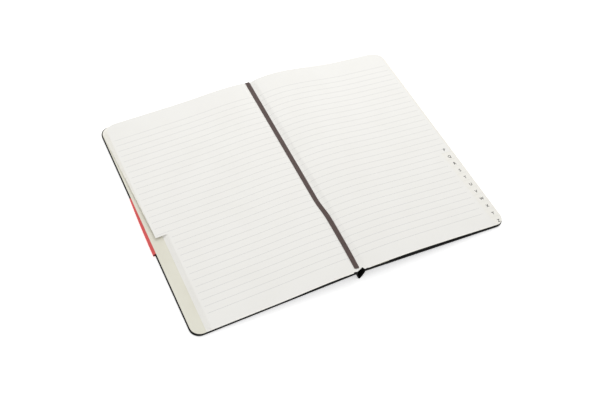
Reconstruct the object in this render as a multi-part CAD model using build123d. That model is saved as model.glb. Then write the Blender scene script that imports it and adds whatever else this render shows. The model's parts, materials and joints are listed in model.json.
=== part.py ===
# An address book lying open at its middle: two hard covers, a soft spine, a ribbon,
# a back pocket and 26 lettered leaves with a stepped thumb index.
# X runs across the open book, +Y to the head of the pages, +Z up from the table.
from build123d import *
from math import asin, atan2, cos, degrees, sin
from string import ascii_lowercase
import os

# Covers
COVER_WIDTH = 130.0
COVER_HEIGHT = 210.0
COVER_CORNER_RADIUS = 8.0
BOARD_THICKNESS = 2.1
SKIN_THICKNESS = 0.25
PASTEDOWN_THICKNESS = 0.15
PASTEDOWN_INSET = 1.0

# How the covers lie: their spine edges stand up from the table, a little apart
SPINE_EDGE_RISE = 7.4
SPINE_HALF_GAP = 3.8

# Leaves
FRONT_LEAF_INSET = 0.9
BACK_LEAF_INSET = 0.2
LEAF_END_INSET = 0.4
LEAF_CORNER_RADIUS = 8.0
LEAF_THICKNESS = 0.08
FLYLEAF_THICKNESS = 0.1
LEAF_GAP = 0.03
LEAF_FAN_STEP = 0.28
LEAF_OVERHANG = 1.1
FRONT_LETTER_COUNT = 15

# Thumb index
TAB_WIDTH = 9.5
TAB_START = 1.0

# Bow of the leaves beside the gutter; on the back they bow out over the pocket
FRONT_BOW_RISE = 1.2
FRONT_BOW_CREST = 22.0
FRONT_BOW_FOOT = 65.0
BACK_BOW_RISE = 2.9
BACK_BOW_CREST = 40.0
BACK_BOW_FOOT_GAP = 12.0

# Spine skin and the sewn back inside it
SPINE_SKIN_THICKNESS = 0.8
SPINE_FOOT_WIDTH = 2.4
SPINE_INNER_FOOT_WIDTH = 1.2
SPINE_FIT = 0.1
LINING_THICKNESS = 0.3
LINING_FIT = 0.2
LINING_INSET = 4.0
THREAD_RADIUS = 0.25
STITCH_COUNT = 6
STITCH_SHARE = 0.7
SEWN_BACK_FIT = 0.2
SEWN_BACK_HEIGHT = 1.9
SEWN_BACK_INSET = 4.0

# Ribbon
RIBBON_WIDTH = 4.0
RIBBON_THICKNESS = 0.3
RIBBON_SHIFT = -0.5
RIBBON_TAIL_GAP = 3.0
RIBBON_FOLD_DROP = 1.6
RIBBON_FIT = 0.05

# Back pocket
POCKET_CARD = 0.3
POCKET_MOUTH = 21.0
POCKET_INSET = 4.0
POCKET_END_INSET = 0.5
GUSSET_WIDTH = 1.5

# Paper band on the front cover
BAND_THICKNESS = 0.15
BAND_HEIGHT = 56.5
BAND_SHIFT = -0.4
BAND_REACH = 118.0
BAND_TURN_IN = 0.7
BAND_FIT = 0.03

COVER_THICKNESS = SKIN_THICKNESS + BOARD_THICKNESS + PASTEDOWN_THICKNESS
COVER_SHELL = SKIN_THICKNESS + BOARD_THICKNESS
TILT = degrees(asin(SPINE_EDGE_RISE / COVER_WIDTH))
TABLE_LIFT = BAND_THICKNESS + BAND_FIT
SPINE_EDGE_HEIGHT = SPINE_EDGE_RISE + TABLE_LIFT
LEAF_HEIGHT = COVER_HEIGHT - 2 * LEAF_END_INSET
BACK_BOW_FOOT = COVER_WIDTH - BACK_BOW_FOOT_GAP
TAB_PITCH = (LEAF_HEIGHT - TAB_START) / len(ascii_lowercase)
CUTTER_REACH = COVER_WIDTH


def on_back(shape):
    """Lay a shape made beside the spine edge on the tilted back cover."""
    return Pos(SPINE_HALF_GAP, 0, SPINE_EDGE_HEIGHT) * Rot(0, TILT, 0) * shape


def on_front(shape):
    """Lay the same shape, mirrored, on the tilted front cover."""
    return on_back(shape).mirror(Plane.YZ)


def rounded_slab(start, end, height, radius, low, thickness):
    """A flat slab whose two corners away from the spine are round."""
    with BuildPart() as slab:
        with BuildSketch(Plane.XY.offset(low)):
            with Locations(((start + end) / 2, 0)):
                Rectangle(end - start, height)
            if radius > 0:
                fillet(vertices().group_by(Axis.X)[-1], radius)
        extrude(amount=thickness)
    return slab.part


def bow_points(level, rise, crest, foot, start):
    """Points of one bowed paper line, from its gutter end to where it lies flat."""
    reach = crest - start
    inner_radius = (reach ** 2 + rise ** 2) / (2 * rise)
    inner_half = atan2(reach, inner_radius - rise) / 2
    span = foot - crest
    outer_radius = (span ** 2 + rise ** 2) / (4 * rise)
    outer_half = asin(span / 2 / outer_radius) / 2
    top = level + rise
    return (
        (start, level),
        (crest - inner_radius * sin(inner_half), top - inner_radius * (1 - cos(inner_half))),
        (crest, top),
        (crest + outer_radius * sin(outer_half), top - outer_radius * (1 - cos(outer_half))),
        (crest + span / 2, level + rise / 2),
        (foot - outer_radius * sin(outer_half), level + outer_radius * (1 - cos(outer_half))),
        (foot, level),
    )


def bow_line(points, end):
    """Draw one bowed paper line as three arcs and a straight run."""
    ThreePointArc(*points[0:3])
    ThreePointArc(*points[2:5])
    ThreePointArc(*points[4:7])
    Line(points[6], (end, points[6][1]))


def bowed_sheet(level, thickness, bow, start, end, height):
    """A sheet that follows the bow, square on plan."""
    lower = bow_points(level, *bow, start)
    upper = bow_points(level + thickness, *bow, start)
    with BuildPart() as sheet:
        with BuildSketch(Plane.XZ):
            with BuildLine():
                bow_line(lower, end)
                bow_line(upper, end)
                Line(lower[0], upper[0])
                Line((end, lower[6][1]), (end, upper[6][1]))
            make_face()
        extrude(amount=height / 2, both=True)
    return sheet.part


def leaf_plan(width, tab_end):
    """The outline of a leaf: round corners, cut back below the end of its tab."""
    head = LEAF_HEIGHT / 2
    with BuildPart() as plan:
        with BuildSketch(Plane.XY.offset(-CUTTER_REACH)):
            with Locations(((width - LEAF_OVERHANG) / 2, 0)):
                Rectangle(width + LEAF_OVERHANG, LEAF_HEIGHT)
            fillet(vertices().group_by(Axis.X)[-1], LEAF_CORNER_RADIUS)
            cut_length = tab_end + head
            if cut_length > LEAF_CORNER_RADIUS:
                with Locations((width - TAB_WIDTH / 2, cut_length / 2 - head)):
                    Rectangle(TAB_WIDTH, cut_length, mode=Mode.SUBTRACT)
        extrude(amount=2 * CUTTER_REACH)
    return plan.part


def leaf(level, thickness, bow, width, tab_end):
    """One bowed leaf, trimmed to its outline."""
    sheet = bowed_sheet(level, thickness, bow, -LEAF_OVERHANG, width, LEAF_HEIGHT)
    return sheet & leaf_plan(width, tab_end)


def tab_foot(letter):
    """Where a letter's tab ends, measured from the middle of the page."""
    place = ascii_lowercase.index(letter) + 1
    return LEAF_HEIGHT / 2 - TAB_START - place * TAB_PITCH


def cover_pieces():
    """Board, skin and pastedown of one cover."""
    skin_edge = SKIN_THICKNESS
    board = rounded_slab(skin_edge, COVER_WIDTH - skin_edge, COVER_HEIGHT - 2 * skin_edge,
                         COVER_CORNER_RADIUS - skin_edge, SKIN_THICKNESS, BOARD_THICKNESS)
    outside = rounded_slab(0, COVER_WIDTH, COVER_HEIGHT, COVER_CORNER_RADIUS, 0, COVER_SHELL)
    pastedown = rounded_slab(PASTEDOWN_INSET, COVER_WIDTH - PASTEDOWN_INSET,
                             COVER_HEIGHT - 2 * PASTEDOWN_INSET,
                             COVER_CORNER_RADIUS - PASTEDOWN_INSET,
                             COVER_SHELL, PASTEDOWN_THICKNESS)
    return board, outside - board, pastedown


def leaf_stack(letters, base, bow, inset, place):
    """A flyleaf and the lettered leaves of one side, from the cover up."""
    level = base + LEAF_GAP
    widest = COVER_WIDTH - inset
    flyleaf = place(leaf(level, FLYLEAF_THICKNESS, bow, widest, -LEAF_HEIGHT / 2))
    level += FLYLEAF_THICKNESS + LEAF_GAP
    pieces = {}
    for order, letter in enumerate(letters):
        width = widest - LEAF_FAN_STEP * (order + 1)
        pieces["leaves_" + letter] = place(leaf(level, LEAF_THICKNESS, bow, width, tab_foot(letter)))
        level += LEAF_THICKNESS + LEAF_GAP
    return flyleaf, pieces


def spine_skin():
    """The soft spine, folded into a trough that stands on the table."""
    outer = SPINE_HALF_GAP - SPINE_FIT
    inner = outer - SPINE_SKIN_THICKNESS
    foot = SPINE_FOOT_WIDTH / 2
    inner_foot = SPINE_INNER_FOOT_WIDTH / 2
    rim = SPINE_EDGE_HEIGHT + COVER_SHELL
    half = [(foot, 0), (outer, SPINE_EDGE_HEIGHT), (outer, rim), (inner, rim),
            (inner, SPINE_EDGE_HEIGHT), (inner_foot, SPINE_SKIN_THICKNESS)]
    mirrored = [(-x, z) for x, z in reversed(half)]
    with BuildPart() as skin:
        with BuildSketch(Plane.XZ):
            with BuildLine():
                Polyline(*half, *mirrored, close=True)
            make_face()
        extrude(amount=COVER_HEIGHT / 2, both=True)
    return skin.part


def block(width, height, length, middle, low):
    """A plain bar along the spine, standing at a given height."""
    return Pos(middle, 0, low) * Box(width, length, height, align=(Align.CENTER, Align.CENTER, Align.MIN))


def sewing_thread(low):
    """Stitches in a row along the sewn back."""
    pitch = LEAF_HEIGHT / STITCH_COUNT
    stitches = []
    for number in range(STITCH_COUNT):
        along = (number - (STITCH_COUNT - 1) / 2) * pitch
        rod = Cylinder(THREAD_RADIUS, pitch * STITCH_SHARE)
        stitches.append(Pos(0, along, low + THREAD_RADIUS) * Rot(90, 0, 0) * rod)
    return Compound(stitches)


def ribbon(low):
    """The bookmark: flat in the gutter, folded down over the head of the leaves."""
    head = LEAF_HEIGHT / 2 + RIBBON_FIT
    tail = RIBBON_TAIL_GAP - LEAF_HEIGHT / 2
    length = head + RIBBON_THICKNESS - tail
    strip = block(RIBBON_WIDTH, RIBBON_THICKNESS, length, RIBBON_SHIFT, low)
    strip = Pos(0, tail + length / 2, 0) * strip
    fold = block(RIBBON_WIDTH, RIBBON_FOLD_DROP, RIBBON_THICKNESS, RIBBON_SHIFT, low - RIBBON_FOLD_DROP)
    return strip + Pos(0, head + RIBBON_THICKNESS / 2, 0) * fold


def pocket(bow):
    """Card panel of the back pocket and the two cloth gussets that hold it open."""
    floor = COVER_THICKNESS
    level = floor + LEAF_GAP
    end = COVER_WIDTH - POCKET_INSET
    height = COVER_HEIGHT - 2 * POCKET_END_INSET
    mouth_cut = rounded_slab(POCKET_MOUTH, end, height, LEAF_CORNER_RADIUS, -CUTTER_REACH, 2 * CUTTER_REACH)
    panel = bowed_sheet(level, POCKET_CARD, bow, -LEAF_OVERHANG, end, height) & mouth_cut
    under = bowed_sheet(level - CUTTER_REACH, CUTTER_REACH, bow, -LEAF_OVERHANG, end, height)
    above_floor = rounded_slab(POCKET_MOUTH, BACK_BOW_FOOT, height, 0, floor, CUTTER_REACH)
    wedge = under & above_floor
    gussets = []
    for end_sign in (1, -1):
        strip_middle = end_sign * (height - GUSSET_WIDTH) / 2
        strip = Pos(COVER_WIDTH / 2, strip_middle, 0) * Box(COVER_WIDTH, GUSSET_WIDTH, CUTTER_REACH)
        gussets.append(wedge & strip)
    return panel, gussets[0], gussets[1]


def paper_band():
    """A folded paper strip under the front cover, up its fore-edge and just over the rim."""
    wrap = BAND_THICKNESS + BAND_FIT
    outer = COVER_WIDTH + wrap
    inner = COVER_WIDTH + BAND_FIT
    hidden_end = outer - BAND_REACH
    rim_end = COVER_WIDTH - BAND_TURN_IN
    corner = [(hidden_end, -wrap), (outer, -wrap), (outer, COVER_SHELL + wrap), (rim_end, COVER_SHELL + wrap),
              (rim_end, COVER_SHELL + BAND_FIT), (inner, COVER_SHELL + BAND_FIT), (inner, -BAND_FIT),
              (hidden_end, -BAND_FIT)]
    with BuildPart() as band:
        with BuildSketch(Plane.XZ):
            with BuildLine():
                Polyline(*corner, close=True)
            make_face()
        extrude(amount=BAND_HEIGHT / 2, both=True)
    return Pos(0, BAND_SHIFT, 0) * band.part


front_bow = (FRONT_BOW_RISE, FRONT_BOW_CREST, FRONT_BOW_FOOT)
back_bow = (BACK_BOW_RISE, BACK_BOW_CREST, BACK_BOW_FOOT)
front_letters = ascii_lowercase[:FRONT_LETTER_COUNT]
back_letters = ascii_lowercase[:FRONT_LETTER_COUNT - 1:-1]

nodes = {}
for side, place in (("front", on_front), ("back", on_back)):
    board, skin, pastedown = cover_pieces()
    nodes[side + "_board"] = place(board)
    nodes[side + "_cover_skin"] = place(skin)
    nodes[side + "_pastedown"] = place(pastedown)

nodes["front_flyleaf"], front_leaves = leaf_stack(front_letters, COVER_THICKNESS, front_bow,
                                                  FRONT_LEAF_INSET, on_front)
pocket_top = COVER_THICKNESS + LEAF_GAP + POCKET_CARD
nodes["back_flyleaf"], back_leaves = leaf_stack(back_letters, pocket_top, back_bow, BACK_LEAF_INSET, on_back)
nodes.update(front_leaves)
nodes.update(back_leaves)

panel, head_gusset, tail_gusset = pocket(back_bow)
nodes["pocket_panel"] = on_back(panel)
nodes["pocket_head_gusset"] = on_back(head_gusset)
nodes["pocket_tail_gusset"] = on_back(tail_gusset)

trough_width = 2 * (SPINE_HALF_GAP - SPINE_FIT - SPINE_SKIN_THICKNESS)
lining_low = SPINE_EDGE_HEIGHT
thread_low = lining_low + LINING_THICKNESS
sewn_low = thread_low + 2 * THREAD_RADIUS
ribbon_low = sewn_low + SEWN_BACK_HEIGHT + RIBBON_FIT
sewn_width = 2 * (SPINE_HALF_GAP - LEAF_OVERHANG - SEWN_BACK_FIT)
nodes["spine_skin"] = spine_skin()
lining_width = trough_width - 2 * LINING_FIT
lining_length = LEAF_HEIGHT - 2 * LINING_INSET
sewn_length = LEAF_HEIGHT - 2 * SEWN_BACK_INSET
nodes["binding_lining"] = block(lining_width, LINING_THICKNESS, lining_length, 0, lining_low)
nodes["sewing_thread"] = sewing_thread(thread_low)
nodes["sewn_back"] = block(sewn_width, SEWN_BACK_HEIGHT, sewn_length, 0, sewn_low)
nodes["ribbon_bookmark"] = ribbon(ribbon_low)
nodes["paper_band"] = on_front(paper_band())

os.makedirs("parts", exist_ok=True)
for name, shape in nodes.items():
    export_step(shape, "parts/" + name + ".step")
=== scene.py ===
# An address book lying open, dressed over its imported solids.
# Sizes in this script are in millimetres, as in the part's own source; meshes are in metres.
import json
from math import asin, ceil, cos, pi, radians, sin, sqrt
from string import ascii_lowercase

import bmesh
import bpy
from mathutils import Matrix, Quaternion, Vector


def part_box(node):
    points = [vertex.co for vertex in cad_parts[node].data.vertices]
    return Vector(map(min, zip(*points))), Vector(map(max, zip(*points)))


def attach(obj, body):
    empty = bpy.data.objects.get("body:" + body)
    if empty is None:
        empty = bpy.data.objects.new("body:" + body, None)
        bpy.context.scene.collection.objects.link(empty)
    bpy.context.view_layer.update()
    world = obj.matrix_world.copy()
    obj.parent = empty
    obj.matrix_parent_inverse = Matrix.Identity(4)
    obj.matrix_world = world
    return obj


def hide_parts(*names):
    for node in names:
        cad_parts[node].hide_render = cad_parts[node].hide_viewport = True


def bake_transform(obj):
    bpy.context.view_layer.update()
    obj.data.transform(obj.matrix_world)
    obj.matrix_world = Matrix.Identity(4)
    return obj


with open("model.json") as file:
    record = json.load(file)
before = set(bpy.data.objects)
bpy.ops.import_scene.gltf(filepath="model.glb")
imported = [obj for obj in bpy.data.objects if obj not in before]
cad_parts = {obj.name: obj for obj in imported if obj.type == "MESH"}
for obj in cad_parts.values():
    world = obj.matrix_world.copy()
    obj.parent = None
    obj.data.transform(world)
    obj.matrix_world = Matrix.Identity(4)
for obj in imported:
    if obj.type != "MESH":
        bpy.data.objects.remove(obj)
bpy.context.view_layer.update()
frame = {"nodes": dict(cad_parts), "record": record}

MM = 0.001
FRONT = -1
BACK = 1

# Covers
COVER_HEIGHT = 210.0
COVER_CORNER_RADIUS = 8.0
COVER_EDGE_ROUND = 0.8
COVER_TOP_ROUND = 0.3
CORNER_STEPS = 8
TURN_IN_LIFT = 0.02
TURN_IN_WIDTH = 3.0
PASTEDOWN_THICKNESS = 0.15

# Leaves
FRONT_LEAF_INSET = 0.9
BACK_LEAF_INSET = 0.2
LEAF_END_INSET = 0.4
LEAF_CORNER_RADIUS = 8.0
LEAF_THICKNESS = 0.1
LEAF_GAP = 0.01
LEAF_FAN_STEP = 0.28
LEAF_OVERHANG = 1.1
FRONT_LETTER_COUNT = 15
LEAF_COLUMN = 3.0
LEAF_ROW = 17.0
GUTTER_COLUMN = 0.6
WALL_COLUMN = 0.1

# Thumb index
TAB_WIDTH = 9.5
TAB_START = 1.0
LETTER_SIZE = 3.7
LETTER_EDGE = 4.5
LETTER_DROP = 1.0
LETTER_THICKNESS = 0.02
LETTER_BOLD = 0.08

# Bow of the leaves beside the gutter: rise, crest and foot at the head and at the tail
FRONT_BOW = ((1.3, 22.0, 62.0), (1.0, 22.0, 65.0))
BACK_BOW = ((4.2, 24.0, 84.0), (2.5, 45.0, 160.0))
CURL_START = 0.6
LEAF_CURL = 0.1

# How the leaves run down beside the ribbon, and how far out from the gutter the leaves get their finer
# columns
FRONT_GUTTER = (2.2, 1.0)
BACK_GUTTER = (1.8, 1.0)
GUTTER_OPENING = 2.4
OPENING_X = 2.2
OPENING_SPREAD = (5.6, 1.0)
GUTTER_TURN = 8.0

# Spine skin, sewn back, stitches
SPINE_SKIN_THICKNESS = 0.8
SPINE_FIT = 0.1
SPINE_SHARPNESS = 1.5
SPINE_STEPS = 10
STRIP_STEPS = 12
STITCH_COUNT = 6
STITCH_STEP = 1.0
STITCH_PLIES = 2
STITCH_TWIST = 2.0
STITCH_RINGS = 6

# Ribbon
RIBBON_WIDTH = 4.0
RIBBON_THICKNESS = 0.25
RIBBON_LIFT = 0.08
RIBBON_X = -0.75
RIBBON_DRIFT = 2.4
RIBBON_DRIFT_START = 0.24
RIBBON_DRIFT_END = 0.34
RIBBON_BEND = 1.45
RIBBON_BEND_END = 0.26
RIBBON_FOLD_RADIUS = 1.0
RIBBON_FOLD_DROP = 1.6
RIBBON_FOLD_STEP = 0.2
RIBBON_TAIL_GAP = 2.4
RIBBON_RIPPLE = 0.08
RIBBON_RIPPLE_TURNS = (0.11, 0.043)
RIBBON_STEP = 4.0
FRAY_LENGTH = 0.9
FRAY_THREADS = 9
FRAY_NARROWING = 0.98
FRAY_TURN = 2.4

# Back pocket
POCKET_CARD = 0.3
POCKET_MOUTH = 21.0
POCKET_INSET = 4.0
POCKET_END_INSET = 0.5
GUSSET_THICKNESS = 0.25
GUSSET_FOLD = 0.8
GUSSET_LEVELS = 4
GUSSET_STEP = 3.0

# Paper band
BAND_THICKNESS = 0.15
BAND_HEIGHT = 56.5
BAND_SHIFT = -0.4
BAND_REACH = 118.0
BAND_TURN_IN = 0.9
BAND_FIT = 0.06
BAND_SLACK = 1.3
BAND_STEP = 12.0
BAND_ROWS = 8
BAND_TURN_STEPS = 6

# Ruling of the pages
RULE_COUNT = 31
RULE_PITCH = 5.95
RULE_FIRST = 86.6
RULE_WIDTH = 0.2
RULE_MARGIN = 2.0

# Camera, measured from the photograph
CAMERA_TARGET = (-9.28, -20.98, 0.0)
CAMERA_DISTANCE = 693.4
CAMERA_AZIMUTH = -32.58
CAMERA_ELEVATION = 51.89
CAMERA_ROLL = 8.61
CAMERA_LENS = 52.06
CAMERA_SENSOR = 36.0

# Mesh finishing
SHARP_ANGLE = 40.0
NORMAL_NUDGE = 0.01
MERGE_DISTANCE = 0.0001

# Light and floor; each lamp has its power in watts, its size and place in metres
FLOOR_SIZE = 12.0
FLOOR_DROP = 0.00005
FLOOR_GLOW = 0.5
WORLD_STRENGTH = 0.66
KEY_LAMP = (2.95, 0.7, (0.22, 0.48, 0.6))
FILL_LAMP = (1.0, 0.6, (-0.7, -0.45, 0.25))

# Colours, linear
PAPER = (0.895, 0.885, 0.85)
PAPER_SHADE = (0.883, 0.872, 0.835)
RULE_GREY = (0.58, 0.58, 0.57)
TAB_CREAM = (0.897, 0.88, 0.825)
ENDPAPER = (0.80, 0.785, 0.68)
ENDPAPER_SHADE = (0.76, 0.74, 0.63)
SKIN_BLACK = (0.003, 0.003, 0.003)
SKIN_WORN = (0.006, 0.006, 0.0057)
# Black gusset cloth in a shaded and a lit copy: painted shade between the weave's crossings, painted sheen
# on them
CLOTH_BLACK = (0.004, 0.004, 0.004)
CLOTH_SHEEN = (0.010, 0.010, 0.010)
BAND_RED = (0.68, 0.108, 0.103)
BAND_RED_SHADE = (0.64, 0.098, 0.094)
# Ribbon brown in a shaded and a lit copy: painted shade between the weave's crossings, painted highlight
# on them
RIBBON_BROWN = (0.060, 0.035, 0.030)
RIBBON_LIGHT = (0.095, 0.058, 0.051)
INK_BLACK = (0.03, 0.03, 0.029)
INK_WORN = (0.06, 0.06, 0.058)
BOARD_GREY = (0.42, 0.39, 0.34)
BOARD_FLECK = (0.30, 0.28, 0.25)
# Lining cloth in a lit and a shaded copy: painted highlight on the weave's crossings, painted shade
# between them
LINING_WHITE = (0.72, 0.70, 0.64)
LINING_SHADE = (0.52, 0.50, 0.45)
# Sewing thread in a lit and a shaded copy: painted highlight on the raised crossings of its pattern,
# painted shade between them
THREAD_WHITE = (0.84, 0.83, 0.79)
THREAD_SHADE = (0.60, 0.59, 0.55)

# Finishes: roughness and specular level
PAPER_FINISH = (0.82, 0.3)
SKIN_FINISH = (0.6, 0.1)
CLOTH_SPECULAR = 0.3
FLECK_SPECULAR = 0.3

# Patterns: scale per metre, then the range of the noise that counts
PAPER_CLOUD = (35.0, 0.35, 0.75)
SKIN_PEBBLES = (1100.0, 0.15, 0.65)
SKIN_WEAR = (60.0, 0.45, 0.8)
CLOTH_CLOUD = 180.0
CLOTH_TONE = (0.1, 0.6)
FLECK_TONE = (0.5, 0.75)
PAPER_TOOTH = 2600.0
NOISE_DETAIL = 4.0

# Relief: height in metres and strength
PAPER_RELIEF = (0.00003, 0.35)
SKIN_RELIEF = (0.00006, 0.35)
FLECK_RELIEF = (0.00002, 0.3)
WEAVE_RELIEF_STRENGTH = 0.5

# Weaves: thread pitch in millimetres, roughness and sheen
GUSSET_WEAVE = (0.5, 0.8, 0.02)
RIBBON_WEAVE = (0.6, 0.5, 0.15)
LINING_WEAVE = (0.8, 0.9, 0.1)
THREAD_WEAVE = (0.4, 0.8, 0.2)

# Flecks: scale per metre and roughness
BOARD_FLECKS = (900.0, 0.9)
INK_FLECKS = (1800.0, 0.7)

# Sockets of the colour mixing node
MIX_COLOURS = (6, 7)
MIX_RESULT = 2

# The covers' place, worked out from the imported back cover
tilt = asin(-frame["record"]["mounts"][0]["axis"][0])
skin_low, skin_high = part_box("back_cover_skin")
span = (skin_high - skin_low) / MM
cover_width = (span.x * cos(tilt) - span.z * sin(tilt)) / cos(2 * tilt)
cover_shell = (span.z * cos(tilt) - span.x * sin(tilt)) / cos(2 * tilt)
half_gap = skin_low.x / MM
edge_height = skin_low.z / MM + cover_width * sin(tilt)
cover_top = cover_shell + PASTEDOWN_THICKNESS
leaf_half = COVER_HEIGHT / 2 - LEAF_END_INSET
tab_pitch = (2 * leaf_half - TAB_START) / len(ascii_lowercase)
gutter_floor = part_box("sewn_back")[1].z / MM + LEAF_GAP
panel_low = cover_top + LEAF_GAP
front_letters = ascii_lowercase[:FRONT_LETTER_COUNT]
back_letters = ascii_lowercase[:FRONT_LETTER_COUNT - 1:-1]


def on_cover(side, u, y, h):
    """A point on a tilted cover: u out from the spine edge, y to the head, h above its outside."""
    x = half_gap + u * cos(tilt) + h * sin(tilt)
    z = edge_height - u * sin(tilt) + h * cos(tilt)
    return Vector((side * x, y, z)) * MM


def bow_height(bow, u, y):
    """How far a leaf stands off the stack's flat level: one shape at the head, another at the tail."""
    height = 0.0
    headward = max(0.0, min(1.0, (1 + y / leaf_half) / 2))
    for (rise, crest, foot), share in zip(bow, (headward, 1 - headward)):
        if u < crest:
            height += share * rise * (1 - ((crest - u) / (crest + LEAF_OVERHANG)) ** 2)
        elif u < foot:
            height += share * rise * (1 + cos(pi * (u - crest) / (foot - crest))) / 2
    return height


def tail_opening(x, y):
    """How far the leaves beside the gutter draw back from the tail, so that the spine shows."""
    spread_left, spread_right = OPENING_SPREAD
    away = (OPENING_X - x) / spread_left if x < OPENING_X else (x - OPENING_X) / spread_right
    near_tail = (LEAF_CORNER_RADIUS - leaf_half - y) / LEAF_CORNER_RADIUS
    return GUTTER_OPENING * max(0.0, 1 - away) * max(0.0, min(1.0, near_tail))


def steps_between(start, end, step):
    """Evenly spread values from start to end, about a step apart."""
    count = max(1, ceil(abs(end - start) / step))
    return [start + (end - start) * number / count for number in range(count + 1)]


def quarter_turn(steps):
    """Angles of a rounded corner, from none to a quarter turn."""
    return [pi / 2 * number / steps for number in range(steps + 1)]


# Mesh helpers
def face_outward(mesh):
    """Turn all faces of a closed mesh outward."""
    work = bmesh.new()
    work.from_mesh(mesh)
    bmesh.ops.recalc_face_normals(work, faces=work.faces)
    work.to_mesh(mesh)
    work.free()


def link_piece(name, mesh, material):
    """An object for a finished mesh, with its material."""
    mesh.materials.append(material)
    for polygon in mesh.polygons:
        polygon.use_smooth = True
    mesh.set_sharp_from_angle(angle=radians(SHARP_ANGLE))
    piece = bpy.data.objects.new(name, mesh)
    bpy.context.scene.collection.objects.link(piece)
    return piece


def thick_sheet(name, faces, place, thickness, material, slot, edge_at=None):
    """A sheet with real thickness: faces are rings of (u, v) keys, place gives the middle surface.

    Its flat coordinates are (u, v), or with edge_at the distance in from that edge and v.
    """
    order = {}
    for face in faces:
        for key in face:
            order.setdefault(key, len(order))
    count = len(order)
    upper = []
    lower = []
    for u, v in order:
        middle = place(u, v)
        along = place(u + NORMAL_NUDGE, v) - place(u - NORMAL_NUDGE, v)
        across = place(u, v + NORMAL_NUDGE) - place(u, v - NORMAL_NUDGE)
        normal = along.cross(across).normalized() * thickness * MM / 2
        upper.append(middle + normal)
        lower.append(middle - normal)
    rings = [[order[key] for key in face] for face in faces]
    directed = {(ring[i - 1], ring[i]) for ring in rings for i in range(len(ring))}
    rims = [(b, a, a + count, b + count) for a, b in directed if (b, a) not in directed]
    under = [[index + count for index in reversed(ring)] for ring in rings]
    mesh = bpy.data.meshes.new(name)
    mesh.from_pydata(upper + lower, [], rings + under + sorted(rims))
    keys = list(order)
    flat = mesh.uv_layers.new(name="flat")
    for polygon in mesh.polygons:
        corners = [keys[index % count] for index in polygon.vertices]
        middle_v = sum(v for _, v in corners) / len(corners)
        for loop, (u, v) in zip(polygon.loop_indices, corners):
            inward = u if edge_at is None else edge_at(middle_v) - u
            flat.data[loop].uv = (inward * MM, v * MM)
    face_outward(mesh)
    return link_piece(name, mesh, material)


def grid_faces(columns, rows):
    """Quads over a grid of column and row values."""
    faces = []
    for left, right in zip(columns, columns[1:]):
        for low, high in zip(rows, rows[1:]):
            faces.append([(left, low), (right, low), (right, high), (left, high)])
    return faces


def page_faces(columns, width, half, tab_foot):
    """Quads of one leaf on plan: round corners, cut back below the end of its tab."""
    radius = LEAF_CORNER_RADIUS
    full = tab_foot <= -half
    inner = steps_between(radius - half, half - radius, LEAF_ROW)
    rows = sorted(set([-half, half] + inner + ([] if full else [tab_foot])))
    cut = width - TAB_WIDTH
    outer = [cut] + [width - radius + radius * sin(angle) for angle in quarter_turn(CORNER_STEPS)]

    def trimmed(u, y):
        reach = half
        if u > width - radius:
            reach = half - radius + sqrt(max(0.0, radius ** 2 - (u - width + radius) ** 2))
        return u, max(-reach, min(reach, y))

    faces = grid_faces([u for u in columns if u < cut] + [cut], rows)
    for face in grid_faces(outer, [y for y in rows if full or y >= tab_foot]):
        ring = []
        for key in (trimmed(*corner_key) for corner_key in face):
            if key not in ring:
                ring.append(key)
        if len(ring) > 2:
            faces.append(ring)
    return faces


# Material helpers
def add_node(tree, kind, **values):
    """A shader node with some of its sockets set by name."""
    node = tree.nodes.new("ShaderNode" + kind)
    for name, value in values.items():
        node.inputs[name.replace("_", " ")].default_value = value
    return node


def sum_up(tree, operation, first, second):
    """A math node on two sockets or numbers, its result socket returned."""
    node = tree.nodes.new("ShaderNodeMath")
    node.operation = operation
    for socket, value in zip(node.inputs, (first, second)):
        if isinstance(value, (int, float)):
            socket.default_value = value
        else:
            tree.links.new(value, socket)
    return node.outputs[0]


def mixed(tree, factor, first, second):
    """A colour between two colours or colour sockets."""
    node = tree.nodes.new("ShaderNodeMix")
    node.data_type = "RGBA"
    tree.links.new(factor, node.inputs[0])
    for number, value in zip(MIX_COLOURS, (first, second)):
        socket = node.inputs[number]
        if isinstance(value, tuple):
            socket.default_value = (*value, 1)
        else:
            tree.links.new(value, socket)
    return node.outputs[MIX_RESULT]


def noise(tree, coordinate, scale):
    """A soft noise, its factor socket returned."""
    node = add_node(tree, "TexNoise", Scale=scale, Detail=NOISE_DETAIL)
    tree.links.new(coordinate, node.inputs["Vector"])
    return node.outputs["Fac"]


def spread(tree, value, low, high):
    """A value mapped smoothly from low..high to 0..1."""
    node = tree.nodes.new("ShaderNodeMapRange")
    node.interpolation_type = "SMOOTHSTEP"
    tree.links.new(value, node.inputs["Value"])
    node.inputs["From Min"].default_value = low
    node.inputs["From Max"].default_value = high
    return node.outputs["Result"]


def start_material(name, roughness, specular):
    """A material with its shader and both coordinate sockets."""
    material = bpy.data.materials.new(name)
    material.use_nodes = True
    tree = material.node_tree
    shader = tree.nodes["Principled BSDF"]
    shader.inputs["Roughness"].default_value = roughness
    shader.inputs["Specular IOR Level"].default_value = specular
    coordinates = tree.nodes.new("ShaderNodeTexCoord")
    return material, tree, shader, coordinates.outputs["Object"], coordinates.outputs["UV"]


def bump(tree, shader, height, distance, strength):
    """Fine relief on a shader."""
    node = add_node(tree, "Bump", Strength=strength, Distance=distance)
    tree.links.new(height, node.inputs["Height"])
    tree.links.new(node.outputs["Normal"], shader.inputs["Normal"])


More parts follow.
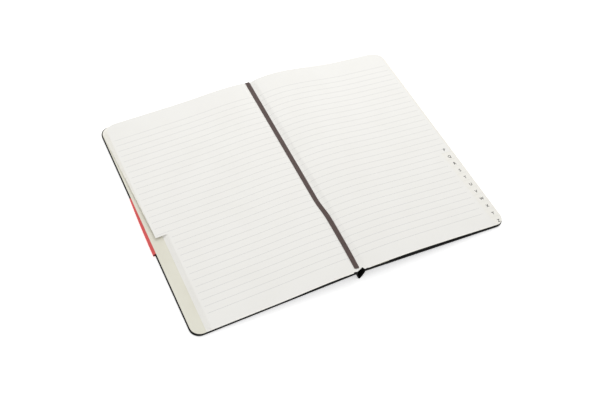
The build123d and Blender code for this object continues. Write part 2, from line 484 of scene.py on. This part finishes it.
def paper_material(name, light, shade, ruled=False):
    """Uncoated paper with a faint cloud and tooth, plain or ruled."""
    material, tree, shader, place, flat = start_material(name, *PAPER_FINISH)
    scale, low, high = PAPER_CLOUD
    colour = mixed(tree, spread(tree, noise(tree, place, scale), low, high), light, shade)
    if ruled:
        axes = tree.nodes.new("ShaderNodeSeparateXYZ")
        tree.links.new(flat, axes.inputs[0])
        across, along = axes.outputs["X"], axes.outputs["Y"]
        first = RULE_FIRST * MM
        last = (RULE_FIRST - (RULE_COUNT - 1) * RULE_PITCH) * MM
        pitch = RULE_PITCH * MM
        shifted = sum_up(tree, "DIVIDE", sum_up(tree, "SUBTRACT", along, first), pitch)
        nearest = sum_up(tree, "ROUND", shifted, 0.0)
        away = sum_up(tree, "ABSOLUTE", sum_up(tree, "SUBTRACT", shifted, nearest), 0.0)
        line = sum_up(tree, "LESS_THAN", away, RULE_WIDTH / RULE_PITCH / 2)
        below_first = sum_up(tree, "LESS_THAN", along, first + pitch / 2)
        above_last = sum_up(tree, "GREATER_THAN", along, last - pitch / 2)
        inside = sum_up(tree, "GREATER_THAN", across, RULE_MARGIN * MM)
        tab = sum_up(tree, "LESS_THAN", across, 0.0)
        colour = mixed(tree, tab, colour, TAB_CREAM)
        ink = sum_up(tree, "MULTIPLY", sum_up(tree, "MULTIPLY", line, below_first),
                     sum_up(tree, "MULTIPLY", above_last, inside))
        colour = mixed(tree, ink, colour, RULE_GREY)
    tree.links.new(colour, shader.inputs["Base Color"])
    bump(tree, shader, noise(tree, place, PAPER_TOOTH), *PAPER_RELIEF)
    return material


def skin_material(name):
    """Black book cloth skin with a fine pebble grain, a little worn in soft random patches."""
    material, tree, shader, place, _ = start_material(name, *SKIN_FINISH)
    scale, low, high = SKIN_PEBBLES
    grain = add_node(tree, "TexVoronoi", Scale=scale)
    tree.links.new(place, grain.inputs["Vector"])
    pebbles = spread(tree, grain.outputs["Distance"], low, high)
    scale, low, high = SKIN_WEAR
    wear = spread(tree, noise(tree, place, scale), low, high)
    tree.links.new(mixed(tree, wear, SKIN_BLACK, SKIN_WORN), shader.inputs["Base Color"])
    bump(tree, shader, pebbles, *SKIN_RELIEF)
    return material


def woven_material(name, dark, light, pitch, roughness, sheen):
    """Plain woven cloth: two sets of threads across each other. Its light colour is a painted highlight on
    the raised crossings and its dark colour painted shade between them, mottled by a random cloud.
    """
    material, tree, shader, _, flat = start_material(name, roughness, CLOTH_SPECULAR)
    axes = tree.nodes.new("ShaderNodeSeparateXYZ")
    tree.links.new(flat, axes.inputs[0])
    turns = 2 * pi / (pitch * MM)
    warp = sum_up(tree, "SINE", sum_up(tree, "MULTIPLY", axes.outputs["X"], turns), 0.0)
    weft = sum_up(tree, "SINE", sum_up(tree, "MULTIPLY", axes.outputs["Y"], turns), 0.0)
    cross = spread(tree, sum_up(tree, "MULTIPLY", warp, weft), -1.0, 1.0)
    cloud = noise(tree, flat, CLOTH_CLOUD)
    # Painted light: the colour follows the weave's relief, lighter on the crossings and darker between
    # them, times a random cloud
    crown_light_and_cloud = spread(tree, sum_up(tree, "MULTIPLY", cross, cloud), *CLOTH_TONE)
    tree.links.new(mixed(tree, crown_light_and_cloud, dark, light), shader.inputs["Base Color"])
    shader.inputs["Sheen Weight"].default_value = sheen
    bump(tree, shader, cross, pitch * MM / 4, WEAVE_RELIEF_STRENGTH)
    return material


def flecked_material(name, base, fleck, scale, roughness):
    """Grey board and ink: a base colour with fine flecks."""
    material, tree, shader, place, _ = start_material(name, roughness, FLECK_SPECULAR)
    spots = spread(tree, noise(tree, place, scale), *FLECK_TONE)
    tree.links.new(mixed(tree, spots, base, fleck), shader.inputs["Base Color"])
    bump(tree, shader, spots, *FLECK_RELIEF)
    return material


def dress_node(node, material):
    """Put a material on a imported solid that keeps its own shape."""
    solid = frame["nodes"][node]
    solid.data.materials.clear()
    solid.data.materials.append(material)


plain_paper = paper_material("plain_paper", PAPER, PAPER_SHADE)
ruled_paper = paper_material("ruled_paper", PAPER, PAPER_SHADE, True)
endpaper = paper_material("endpaper", ENDPAPER, ENDPAPER_SHADE)
band_paper = paper_material("band_paper", BAND_RED, BAND_RED_SHADE)
black_skin = skin_material("black_skin")
# The four cloths below carry painted highlight and painted shade in their weave colours
black_cloth = woven_material("black_cloth", CLOTH_BLACK, CLOTH_SHEEN, *GUSSET_WEAVE)
ribbon_weave = woven_material("ribbon_weave", RIBBON_BROWN, RIBBON_LIGHT, *RIBBON_WEAVE)
lining_weave = woven_material("lining_weave", LINING_SHADE, LINING_WHITE, *LINING_WEAVE)
thread_twist = woven_material("thread_twist", THREAD_SHADE, THREAD_WHITE, *THREAD_WEAVE)
grey_board = flecked_material("grey_board", BOARD_GREY, BOARD_FLECK, *BOARD_FLECKS)
black_ink = flecked_material("black_ink", INK_BLACK, INK_WORN, *INK_FLECKS)


# Covers: board and pastedown keep their solids, the skin gets round edges and a turn-in
def cover_outline(inset):
    """Points round a cover, drawn in by an inset, its two outer corners round."""
    half = COVER_HEIGHT / 2
    radius = COVER_CORNER_RADIUS - inset
    far = cover_width - COVER_CORNER_RADIUS
    high = half - COVER_CORNER_RADIUS
    points = [(inset, inset - half)]
    for angle in quarter_turn(CORNER_STEPS):
        points.append((far + radius * sin(angle), -high - radius * cos(angle)))
    for angle in quarter_turn(CORNER_STEPS):
        points.append((far + radius * cos(angle), high + radius * sin(angle)))
    points.append((inset, half - inset))
    return points


def cover_skin(side, name):
    """The skin of one cover: flat outside, round edges, turned in under the pastedown."""
    top = cover_shell + TURN_IN_LIFT
    rings = []
    for angle in quarter_turn(CORNER_STEPS):
        rings.append((COVER_EDGE_ROUND * (1 - sin(angle)), COVER_EDGE_ROUND * (1 - cos(angle))))
    for angle in quarter_turn(CORNER_STEPS):
        rings.append((COVER_TOP_ROUND * (1 - cos(angle)), top - COVER_TOP_ROUND * (1 - sin(angle))))
    rings.append((TURN_IN_WIDTH, top))
    points = []
    for inset, height in rings:
        points += [on_cover(side, u, y, height) for u, y in cover_outline(inset)]
    count = len(cover_outline(0))
    faces = [list(range(count))]
    for ring in range(len(rings) - 1):
        for number in range(count):
            following = (number + 1) % count
            a, b = ring * count + number, ring * count + following
            faces.append([a, b, b + count, a + count])
    faces.append(list(range((len(rings) - 1) * count, len(rings) * count)))
    mesh = bpy.data.meshes.new(name)
    mesh.from_pydata(points, [], faces)
    face_outward(mesh)
    return link_piece(name, mesh, black_skin)


for side, word in ((FRONT, "front"), (BACK, "back")):
    skin = cover_skin(side, word + "_skin")
    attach(skin, word + "_cover")
    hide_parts(word + "_cover_skin")
    dress_node(word + "_board", grey_board)
    dress_node(word + "_pastedown", endpaper)


# Leaves: each is a thin sheet that bends down beside the gutter
class LeafStack:
    """The leaves that lie on one cover and how they are set out; the names of the bodies they belong to
    are kept but not used.
    """

    def __init__(self, side, word, letters, base, shape, bodies):
        self.side = side
        self.word = word
        self.letters = letters
        self.base = base
        self.bow, self.gutter, self.inset = shape
        self.cover, self.stack, self.top = bodies

    def width(self, order):
        """Width of a leaf, counted from the flyleaf; the lower leaves reach out further."""
        return cover_width - self.inset - LEAF_FAN_STEP * order

    def level(self, order):
        """Height of a leaf's underside over the cover's outside."""
        return self.base + LEAF_GAP + (LEAF_THICKNESS + LEAF_GAP) * order

    def place(self, order, height):
        """The surface at a given height inside one leaf, as a function of u and y."""
        start, valley = self.gutter
        width = self.width(order)
        curl_start = CURL_START * width
        level = self.level(order) + height
        share = order / len(self.letters)
        reach = abs(on_cover(self.side, start, 0, level).x) / MM
        floor_level = gutter_floor + height

        def surface(u, y):
            if u >= start:
                curl = LEAF_CURL * share * max(0.0, (u - curl_start) / (width - curl_start)) ** 2
                return on_cover(self.side, u, y, level + bow_height(self.bow, u, y) + curl)
            rim = on_cover(self.side, start, y, level + bow_height(self.bow, start, y)) / MM
            x = max(0.0, reach + u - start)
            up = max(0.0, min(1.0, (x - valley) / (reach - valley)))
            z = floor_level + (rim.z - floor_level) * up * up * (2 - up)
            return Vector((self.side * x, y + tail_opening(self.side * x, y), z)) * MM

        return surface

    def make_leaf(self, order, name, tab_foot, looks, on_top):
        """One leaf, bending down beside the gutter."""
        start, valley = self.gutter
        width = self.width(order)
        columns = steps_between(start, GUTTER_TURN, GUTTER_COLUMN)
        columns += steps_between(GUTTER_TURN, width - TAB_WIDTH, LEAF_COLUMN)[1:]
        middle = self.place(order, LEAF_THICKNESS / 2)
        if on_top:
            reach = abs(middle(start, 0).x) / MM
            wall_columns = steps_between(start - reach + valley, start, WALL_COLUMN)
            columns = [start - reach] + wall_columns[:-1] + columns

        def ruled_edge(y):
            return width if on_top and y > tab_foot else width - TAB_WIDTH

        leaf = thick_sheet(name, page_faces(columns, width, leaf_half, tab_foot), middle, LEAF_THICKNESS,
                           *looks, ruled_edge)
        inner, outer = middle(start, 0), middle(GUTTER_TURN, 0)
        if self.side == FRONT:
            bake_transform(leaf)
        else:
            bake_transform(leaf)
        return leaf

    def make(self):
        """A flyleaf and the lettered leaves; the last leaf, on top, runs on down into the gutter."""
        flyleaf = self.make_leaf(0, self.word + "_flyleaf_sheet", -leaf_half, (endpaper, "endpaper"),
                                 False)
        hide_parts(self.word + "_flyleaf")
        for order, letter in enumerate(self.letters, 1):
            on_top = order == len(self.letters)
            leaf = self.make_leaf(order, "sheet_" + letter, tab_foot_of(letter),
                                  (ruled_paper, "leaf_paper"), on_top)
            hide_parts("leaves_" + letter)


def tab_foot_of(letter):
    """Where a letter's tab ends, measured from the middle of the page."""
    return leaf_half - TAB_START - (ascii_lowercase.index(letter) + 1) * tab_pitch


left_stack = LeafStack(FRONT, "front", front_letters, cover_top,
                       (FRONT_BOW, FRONT_GUTTER, FRONT_LEAF_INSET),
                       ("front_cover", "left_leaves", "left_top_leaf"))
right_stack = LeafStack(BACK, "back", back_letters, panel_low + POCKET_CARD,
                        (BACK_BOW, BACK_GUTTER, BACK_LEAF_INSET),
                        ("back_cover", "right_leaves", "right_top_leaf"))
left_stack.make()
right_stack.make()


# Index letters, printed on the side of each leaf that faces the back cover's leaves
def letter_mesh(letter):
    """One capital letter in its own plane."""
    text = bpy.data.curves.new("letter", "FONT")
    text.body = letter.upper()
    text.size = LETTER_SIZE * MM
    text.align_x = "CENTER"
    text.align_y = "CENTER"
    text.extrude = LETTER_THICKNESS * MM / 2
    text.offset = LETTER_BOLD * MM
    carrier = bpy.data.objects.new("letter", text)
    bpy.context.scene.collection.objects.link(carrier)
    bpy.context.view_layer.update()
    mesh = bpy.data.meshes.new_from_object(carrier.evaluated_get(bpy.context.evaluated_depsgraph_get()))
    bpy.data.objects.remove(carrier)
    return mesh


def letter_matrix(stack, letter):
    """Where a letter sits on its tab, facing up on the back stack and down on the front."""
    order = stack.letters.index(letter) + 1
    u = stack.width(order) - LETTER_EDGE
    y = tab_foot_of(letter) + tab_pitch / 2 - LETTER_DROP
    surface = stack.place(order, LEAF_THICKNESS if stack.side == BACK else 0.0)
    spot = surface(u, y)
    outward = (surface(u + 1, y) - spot).normalized()
    headward = (surface(u, y + 1) - spot).normalized()
    facing = outward.cross(headward).normalized()
    turned = Matrix((headward.cross(facing), headward, facing)).transposed()
    return Matrix.Translation(spot) @ turned.to_4x4()


def index_letters(name, stack, letters, body):
    """The letters that move with one body, as one piece."""
    work = bmesh.new()
    for letter in letters:
        mesh = letter_mesh(letter)
        mesh.transform(letter_matrix(stack, letter))
        work.from_mesh(mesh)
        bpy.data.meshes.remove(mesh)
    bmesh.ops.remove_doubles(work, verts=work.verts, dist=MERGE_DISTANCE * MM)
    merged = bpy.data.meshes.new(name)
    work.to_mesh(merged)
    work.free()
    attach(link_piece(name, merged, black_ink), body)


index_letters("index_a_to_n", left_stack, front_letters[:-1], "left_leaves")
index_letters("index_o", left_stack, front_letters[-1], "left_top_leaf")
index_letters("index_q_to_z", right_stack, back_letters[:-1], "right_leaves")
index_letters("index_p", right_stack, back_letters[-1], "right_top_leaf")


# Back pocket: card panel and two folded cloth gussets
def panel_place(u, y):
    """The middle of the pocket's card panel."""
    return on_cover(BACK, u, y, panel_low + POCKET_CARD / 2 + bow_height(BACK_BOW, u, y))


pocket_end = cover_width - POCKET_INSET
pocket_half = COVER_HEIGHT / 2 - POCKET_END_INSET
panel_columns = steps_between(POCKET_MOUTH, pocket_end - TAB_WIDTH, LEAF_COLUMN)
panel = thick_sheet("pocket_card", page_faces(panel_columns, pocket_end, pocket_half, -pocket_half),
                    panel_place, POCKET_CARD, endpaper, "pocket_card")
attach(panel, "back_cover")
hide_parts("pocket_panel")


def gusset_place(end_sign):
    """A cloth strip between pastedown and panel, folded inward like a bellows."""
    def place(u, share):
        y = end_sign * pocket_half
        roof = panel_low + bow_height(BACK_BOW, u, y)
        low = cover_top + GUSSET_THICKNESS / 2
        high = max(low, roof - GUSSET_THICKNESS / 2)
        fold = GUSSET_FOLD * abs(sin(pi * share)) + GUSSET_THICKNESS
        return on_cover(BACK, u, y - end_sign * fold, low + (high - low) * share)
    return place


gusset_columns = steps_between(POCKET_MOUTH, pocket_end - LEAF_CORNER_RADIUS, GUSSET_STEP)
gusset_rows = [level / GUSSET_LEVELS for level in range(GUSSET_LEVELS + 1)]
for end_sign, word in ((1, "head"), (-1, "tail")):
    gusset = thick_sheet("gusset_" + word, grid_faces(gusset_columns, gusset_rows), gusset_place(end_sign),
                         GUSSET_THICKNESS, black_cloth, "gusset_cloth")
    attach(gusset, "back_cover")
    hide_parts("pocket_" + word + "_gusset")


# Spine: skin, lining, stitches and sewn back stay with the back cover
def spine_place(t, y):
    """The spine skin's middle: t runs from -1 to 1 across a soft trough, and on to 2 up each rim."""
    reach = half_gap - SPINE_FIT - SPINE_SKIN_THICKNESS / 2
    foot = SPINE_SKIN_THICKNESS / 2
    across = max(-1.0, min(1.0, t))
    z = foot + (edge_height - foot) * abs(across) ** SPINE_SHARPNESS
    rim = (abs(t) - 1) * cover_shell if abs(t) > 1 else 0.0
    return Vector((reach * across, y, z + rim)) * MM


def spine_strip(name, place, columns, half, thickness, looks, node):
    """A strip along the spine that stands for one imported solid."""
    rows = steps_between(-half, half, LEAF_ROW)
    strip = thick_sheet(name, grid_faces(columns, rows), place, thickness, *looks)
    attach(strip, "back_cover")
    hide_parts(node)


trough = [-2.0] + steps_between(-1.0, 1.0, 1 / SPINE_STEPS) + [2.0]
spine_strip("spine_cover", spine_place, trough, COVER_HEIGHT / 2, SPINE_SKIN_THICKNESS,
            (black_skin, "spine_skin"), "spine_skin")


def flat_strip(low, high):
    """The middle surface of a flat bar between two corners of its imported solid."""
    middle = (low.z + high.z) / 2
    return lambda x, y: Vector((x, y, middle)) * MM


for node, piece, looks in (("sewn_back", "sewn_folds", (plain_paper, "leaf_paper")),
                           ("binding_lining", "lining_strip", (lining_weave, "lining_cloth"))):
    low, high = (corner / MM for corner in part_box(node))
    columns = [low.x + (high.x - low.x) * number / STRIP_STEPS for number in range(STRIP_STEPS + 1)]
    spine_strip(piece, flat_strip(low, high), columns, high.y, high.z - low.z, looks, node)


def stitches():
    """Twisted two-ply stitches along the sewn back."""
    low, high = (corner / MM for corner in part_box("sewing_thread"))
    radius = (high.z - low.z) / 2
    ply = radius / 2
    height = low.z + radius
    pitch = 2 * leaf_half / STITCH_COUNT
    length = (high.y - low.y) - pitch * (STITCH_COUNT - 1)
    points = []
    faces = []
    for number in range(STITCH_COUNT):
        start = low.y + pitch * number
        for strand in range(STITCH_PLIES):
            rings = steps_between(0, length, STITCH_STEP)
            base = len(points)
            for along in rings:
                turn = 2 * pi * (along / STITCH_TWIST + strand / STITCH_PLIES)
                centre = Vector((ply * cos(turn), start + along, height + ply * sin(turn)))
                for corner in range(STITCH_RINGS):
                    angle = 2 * pi * corner / STITCH_RINGS
                    points.append((centre + Vector((ply * cos(angle), 0, ply * sin(angle)))) * MM)
            for ring in range(len(rings) - 1):
                for corner in range(STITCH_RINGS):
                    a = base + ring * STITCH_RINGS + corner
                    b = base + ring * STITCH_RINGS + (corner + 1) % STITCH_RINGS
                    faces.append([a, a + STITCH_RINGS, b + STITCH_RINGS, b])
            last = base + (len(rings) - 1) * STITCH_RINGS
            faces.append([base + corner for corner in range(STITCH_RINGS)])
            faces.append([last + corner for corner in reversed(range(STITCH_RINGS))])
    mesh = bpy.data.meshes.new("stitches")
    mesh.from_pydata(points, [], faces)
    mesh.uv_layers.new(name="flat")
    piece = link_piece("stitches", mesh, thread_twist)
    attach(piece, "back_cover")
    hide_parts("sewing_thread")


stitches()


# Ribbon: woven strip lying in the gutter, folded over the head, its tail a little frayed
def gutter_height(x, y):
    """Height of the leaves' upper side beside the gutter."""
    stack = left_stack if x < 0 else right_stack
    surface = stack.place(len(stack.letters), LEAF_THICKNESS)
    start, _ = stack.gutter
    reach = abs(surface(start, y).x) / MM
    return surface(start + abs(x) - reach, y).z / MM


def ribbon_place(across, along):
    """The middle of the ribbon: across its width, along its run from the tail, lying on the leaves."""
    run = leaf_half - RIBBON_TAIL_GAP
    share = min(1.0, along / (leaf_half + run))
    moved = max(0.0, min(1.0, (share - RIBBON_DRIFT_START) / (RIBBON_DRIFT_END - RIBBON_DRIFT_START)))
    drift = RIBBON_DRIFT * moved * moved * (3 - 2 * moved) * (1 - share)
    bend = RIBBON_BEND * max(0.0, 1 - share / RIBBON_BEND_END) ** 2
    x = RIBBON_X - drift - bend + across
    y = min(along - run, leaf_half)
    quick, slow = (along * turns for turns in RIBBON_RIPPLE_TURNS)
    ripple = RIBBON_RIPPLE * (1 + sin(quick) * cos(slow))
    level = gutter_height(x, y) + RIBBON_LIFT + RIBBON_THICKNESS / 2 + ripple
    over = along - (leaf_half + run)
    if over <= 0:
        return Vector((x, y, level)) * MM
    turn = min(over / RIBBON_FOLD_RADIUS, pi / 2)
    drop = max(0.0, over - RIBBON_FOLD_RADIUS * pi / 2)
    y += RIBBON_FOLD_RADIUS * sin(turn)
    return Vector((x, y, level - RIBBON_FOLD_RADIUS * (1 - cos(turn)) - drop)) * MM


ribbon_run = 2 * leaf_half - RIBBON_TAIL_GAP
ribbon_rows = steps_between(FRAY_LENGTH, ribbon_run, RIBBON_STEP)
ribbon_end = ribbon_run + RIBBON_FOLD_RADIUS + RIBBON_FOLD_DROP
ribbon_rows += steps_between(ribbon_run, ribbon_end, RIBBON_FOLD_STEP)[1:]
ribbon_columns = [RIBBON_WIDTH * (number / FRAY_THREADS - 0.5) for number in range(FRAY_THREADS + 1)]
ribbon_faces = grid_faces(ribbon_columns, ribbon_rows)
for number, (left, right) in enumerate(zip(ribbon_columns, ribbon_columns[1:])):
    end = FRAY_LENGTH * (1 + sin(number * FRAY_TURN)) / 2
    tip = [(left * FRAY_NARROWING, end), (right * FRAY_NARROWING, end)]
    ribbon_faces.append(tip + [(right, FRAY_LENGTH), (left, FRAY_LENGTH)])
ribbon = thick_sheet("ribbon_strip", ribbon_faces, ribbon_place, RIBBON_THICKNESS, ribbon_weave, "ribbon")
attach(ribbon, "back_cover")
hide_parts("ribbon_bookmark")


# Paper band: under the front cover and up round its fore-edge, standing off a little to the tail
def band_path():
    """Points (u, h) of the band's middle line, from under the cover to its turned-in top."""
    off = BAND_FIT + BAND_THICKNESS / 2
    far = cover_width - COVER_EDGE_ROUND
    path = [(u, -off) for u in steps_between(cover_width - BAND_REACH, far, BAND_STEP)]
    top = cover_shell + TURN_IN_LIFT
    angles = quarter_turn(BAND_TURN_STEPS)
    for angle in reversed(angles):
        radius = COVER_EDGE_ROUND + off
        path.append((far + radius * cos(angle), COVER_EDGE_ROUND - radius * sin(angle)))
    for angle in angles:
        radius = COVER_TOP_ROUND + off
        path.append((cover_width - COVER_TOP_ROUND + radius * cos(angle),
                     top - COVER_TOP_ROUND + radius * sin(angle)))
    path.append((cover_width - BAND_TURN_IN, top + off))
    return path


band_points = band_path()


def band_place(step, y):
    """The band's middle surface: step counts along its path."""
    low = max(0, min(len(band_points) - 2, int(step)))
    part = step - low
    u = band_points[low][0] * (1 - part) + band_points[low + 1][0] * part
    h = band_points[low][1] * (1 - part) + band_points[low + 1][1] * part
    tailward = 0.5 - (y - BAND_SHIFT) / BAND_HEIGHT
    edge = max(0.0, min(1.0, (u - cover_width + COVER_EDGE_ROUND) / COVER_EDGE_ROUND))
    return on_cover(FRONT, u + BAND_SLACK * tailward * (2 - tailward) * edge, y, h)


band_tail = BAND_SHIFT - BAND_HEIGHT / 2
band_rows = steps_between(band_tail, band_tail + BAND_HEIGHT, BAND_HEIGHT / BAND_ROWS)
band = thick_sheet("band_strip", grid_faces(list(range(len(band_points))), band_rows), band_place,
                   BAND_THICKNESS, band_paper, "band_paper")
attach(band, "front_cover")
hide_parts("paper_band")


# Floor, light and camera
floor_mesh = bpy.data.meshes.new("floor")
reach = FLOOR_SIZE / 2
corners = [(-reach, -reach), (reach, -reach), (reach, reach), (-reach, reach)]
floor_mesh.from_pydata([(x, y, -FLOOR_DROP) for x, y in corners], [], [(0, 1, 2, 3)])
floor = bpy.data.objects.new("floor", floor_mesh)
bpy.context.scene.collection.objects.link(floor)
floor_material = bpy.data.materials.new("floor_white")
floor_material.use_nodes = True
floor_shader = floor_material.node_tree.nodes["Principled BSDF"]
floor_shader.inputs["Base Color"].default_value = (1, 1, 1, 1)
floor_shader.inputs["Roughness"].default_value = 1.0
floor_shader.inputs["Specular IOR Level"].default_value = 0.0
floor_shader.inputs["Emission Color"].default_value = (1, 1, 1, 1)
floor_shader.inputs["Emission Strength"].default_value = FLOOR_GLOW
floor_mesh.materials.append(floor_material)

world = bpy.data.worlds.new("studio")
world.use_nodes = True
sky = world.node_tree.nodes["Background"]
paths = world.node_tree.nodes.new("ShaderNodeLightPath")
mirrored = sum_up(world.node_tree, "MAXIMUM", paths.outputs["Is Glossy Ray"],
                  paths.outputs["Is Transmission Ray"])
seen = sum_up(world.node_tree, "MAXIMUM", paths.outputs["Is Camera Ray"], mirrored)
strength = world.node_tree.nodes.new("ShaderNodeMapRange")
world.node_tree.links.new(seen, strength.inputs["Value"])
strength.inputs["To Min"].default_value = WORLD_STRENGTH
strength.inputs["To Max"].default_value = 1.0
world.node_tree.links.new(strength.outputs["Result"], sky.inputs["Strength"])
sky.inputs["Color"].default_value = (1, 1, 1, 1)
bpy.context.scene.world = world

for name, (power, size, spot) in (("key", KEY_LAMP), ("fill", FILL_LAMP)):
    panel_light = bpy.data.lights.new(name, "AREA")
    panel_light.energy = power
    panel_light.size = size
    lamp = bpy.data.objects.new(name, panel_light)
    lamp.location = spot
    lamp.rotation_mode = "QUATERNION"
    lamp.rotation_quaternion = Vector(spot).to_track_quat("Z", "Y")
    bpy.context.scene.collection.objects.link(lamp)

azimuth = radians(CAMERA_AZIMUTH)
elevation = radians(CAMERA_ELEVATION)
backward = Vector((sin(azimuth) * cos(elevation), -cos(azimuth) * cos(elevation), sin(elevation)))
lens = bpy.data.cameras.new("camera")
lens.sensor_width = CAMERA_SENSOR
lens.lens = CAMERA_LENS
camera = bpy.data.objects.new("camera", lens)
camera.rotation_mode = "QUATERNION"
camera.location = (Vector(CAMERA_TARGET) + backward * CAMERA_DISTANCE) * MM
roll = Quaternion((0, 0, 1), radians(CAMERA_ROLL))
camera.rotation_quaternion = (-backward).to_track_quat("-Z", "Y") @ roll
bpy.context.scene.collection.objects.link(camera)
bpy.context.scene.camera = camera
bpy.context.scene.view_settings.view_transform = "Standard"
